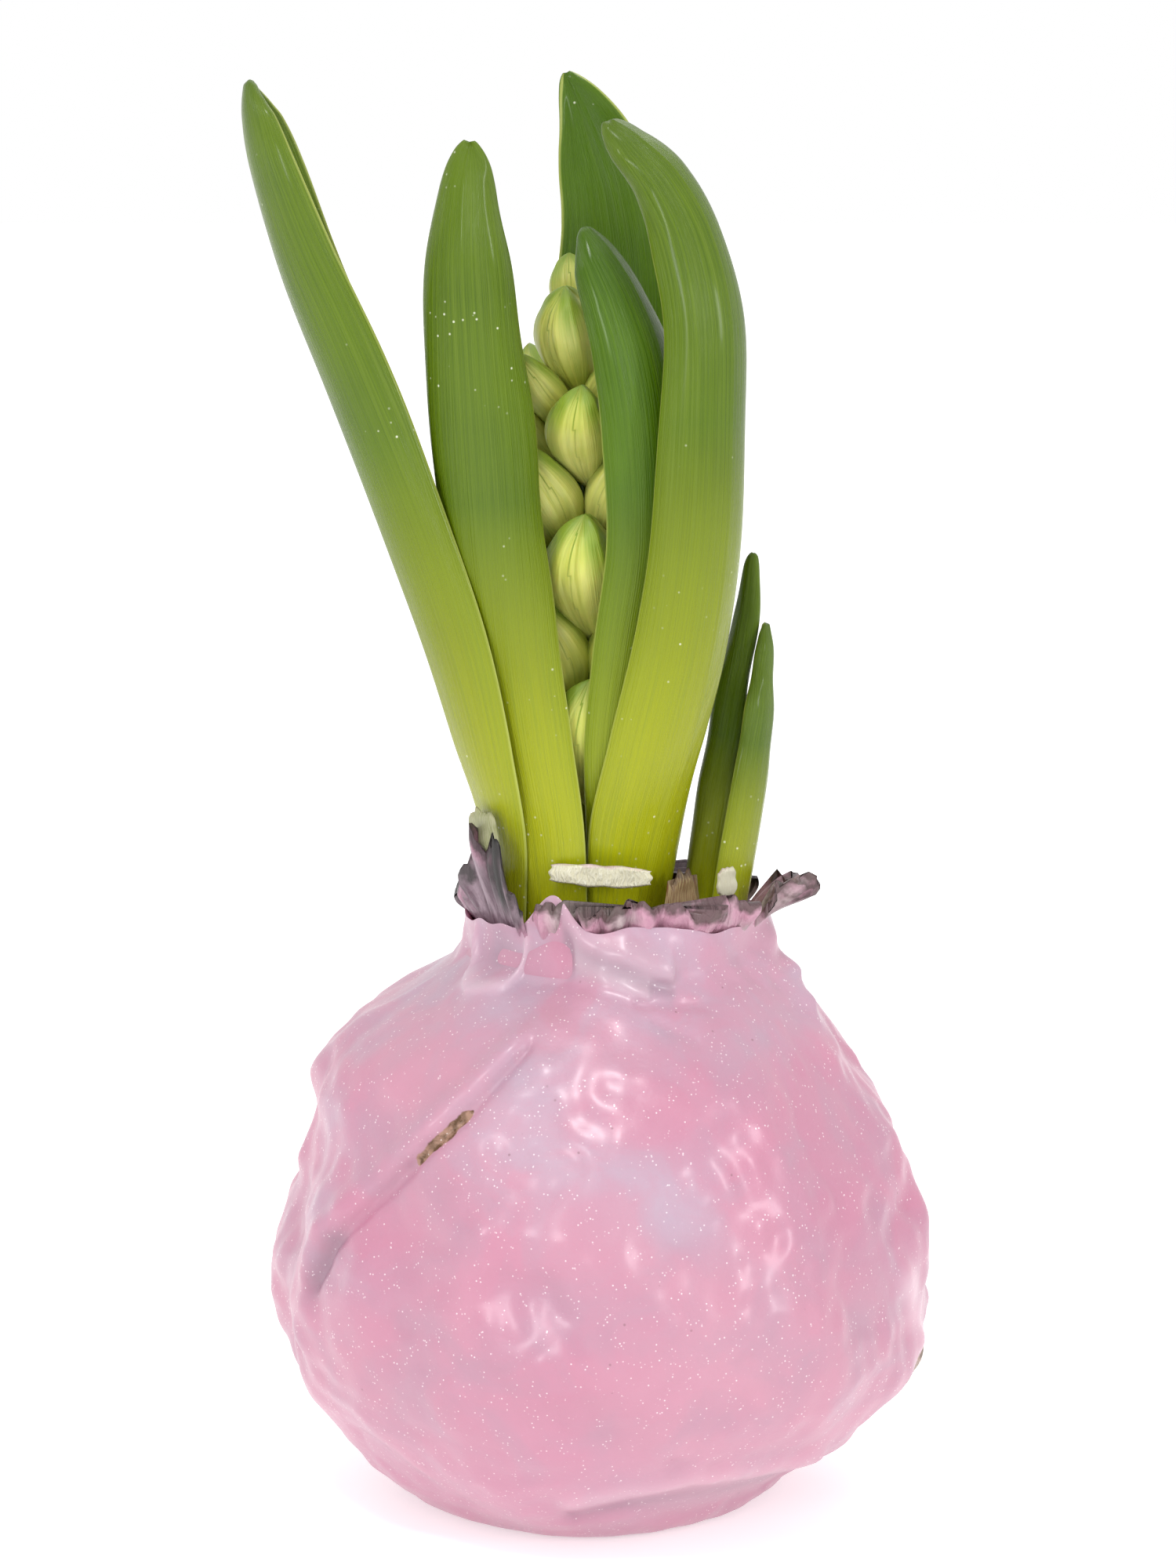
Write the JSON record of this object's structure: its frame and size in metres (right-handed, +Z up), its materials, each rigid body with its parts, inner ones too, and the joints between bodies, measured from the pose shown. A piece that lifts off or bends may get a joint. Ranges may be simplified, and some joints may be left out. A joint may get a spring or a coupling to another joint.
{
  "type": "hyacinth in bud on a wax-dipped bulb",
  "caption": "Hyacinth in green bud with channelled leaves round its flower spike, growing from a bulb dipped in pink pearl wax that stands on its own flattened foot.",
  "frame": {"origin": "middle of the flat wax foot that the bulb stands on", "axes": "+Z up along the plant, -Y to the plant's front, +X to its right as seen from the front"},
  "size_m": [0.0749, 0.0704, 0.1561],
  "materials": {
    "pearl_wax": "pearl wax, satin with a fine glitter",
    "waxed_tunic": "papery bulb skin under a thin film of wax, torn dark edges",
    "bulb_skin": "dry brown bulb scales",
    "leaf_green": "smooth leaf with a waxy sheen and fine veins along it",
    "stalk_green": "smooth pale green stalk",
    "bud_green": "closed petals, pale yellow with green ribs and tips",
    "wax_flake": "thin pale wax flakes"
  },
  "bodies": {
    "root": {"bud_01": "bud_green", "bud_02": "bud_green", "bud_03": "bud_green", "bud_04": "bud_green", "bud_05": "bud_green", "bud_06": "bud_green", "bud_07": "bud_green", "bud_08": "bud_green", "bud_09": "bud_green", "bud_10": "bud_green", "bud_11": "bud_green", "bud_12": "bud_green", "bud_13": "bud_green", "bud_14": "bud_green", "bud_15": "bud_green", "bud_16": "bud_green", "bud_17": "bud_green", "bud_18": "bud_green", "bud_19": "bud_green", "bud_20": "bud_green", "bud_21": "bud_green", "bud_22": "bud_green", "bud_23": "bud_green", "bud_24": "bud_green", "bud_25": "bud_green", "bud_26": "bud_green", "bud_27": "bud_green", "bulb": "bulb_skin", "flower_stalk": "stalk_green", "leaf_back": "leaf_green", "leaf_front_left": "leaf_green", "leaf_front_right": "leaf_green", "leaf_inner_right": "leaf_green", "leaf_left": "leaf_green", "offset_leaf_inner": "leaf_green", "offset_leaf_outer": "leaf_green", "tunic_back": "waxed_tunic", "tunic_front": "waxed_tunic", "tunic_left": "waxed_tunic", "tunic_right": "waxed_tunic", "tunic_scrap": "bulb_skin", "wax_chip_front": "wax_flake", "wax_chip_left": "wax_flake", "wax_chip_small": "wax_flake", "wax_coat": "pearl_wax"}
  },
  "joints": []
}
